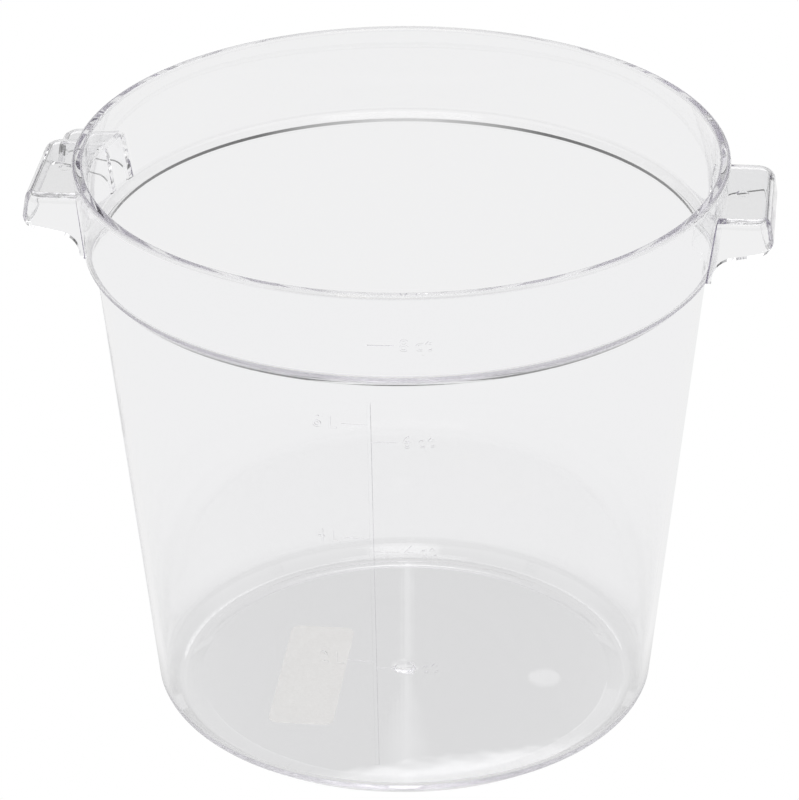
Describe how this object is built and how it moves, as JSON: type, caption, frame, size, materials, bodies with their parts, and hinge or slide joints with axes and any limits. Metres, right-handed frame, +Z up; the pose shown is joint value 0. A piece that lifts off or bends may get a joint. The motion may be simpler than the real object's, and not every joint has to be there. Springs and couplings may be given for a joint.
{
  "type": "food storage container",
  "caption": "Clear round food storage tub with a tapered wall, a stepped collar, hollow moulded handles on opposite sides and a thin film label under its floor.",
  "frame": {"origin": "centre of the foot ring, on the surface the tub stands on", "axes": "+Z up along the tub's axis, +X towards the right handle, -Y towards the front of the wall"},
  "size_m": [0.2888, 0.2528, 0.2312],
  "materials": {
    "clear_plastic": "clear polished polycarbonate",
    "clear_handle_plastic": "clear polycarbonate, slightly darker at its edges",
    "label_film": "thin translucent film"
  },
  "bodies": {
    "root": {"tub": "clear_plastic", "handle_left": "clear_handle_plastic", "handle_right": "clear_handle_plastic", "base_label": "label_film"}
  },
  "joints": []
}
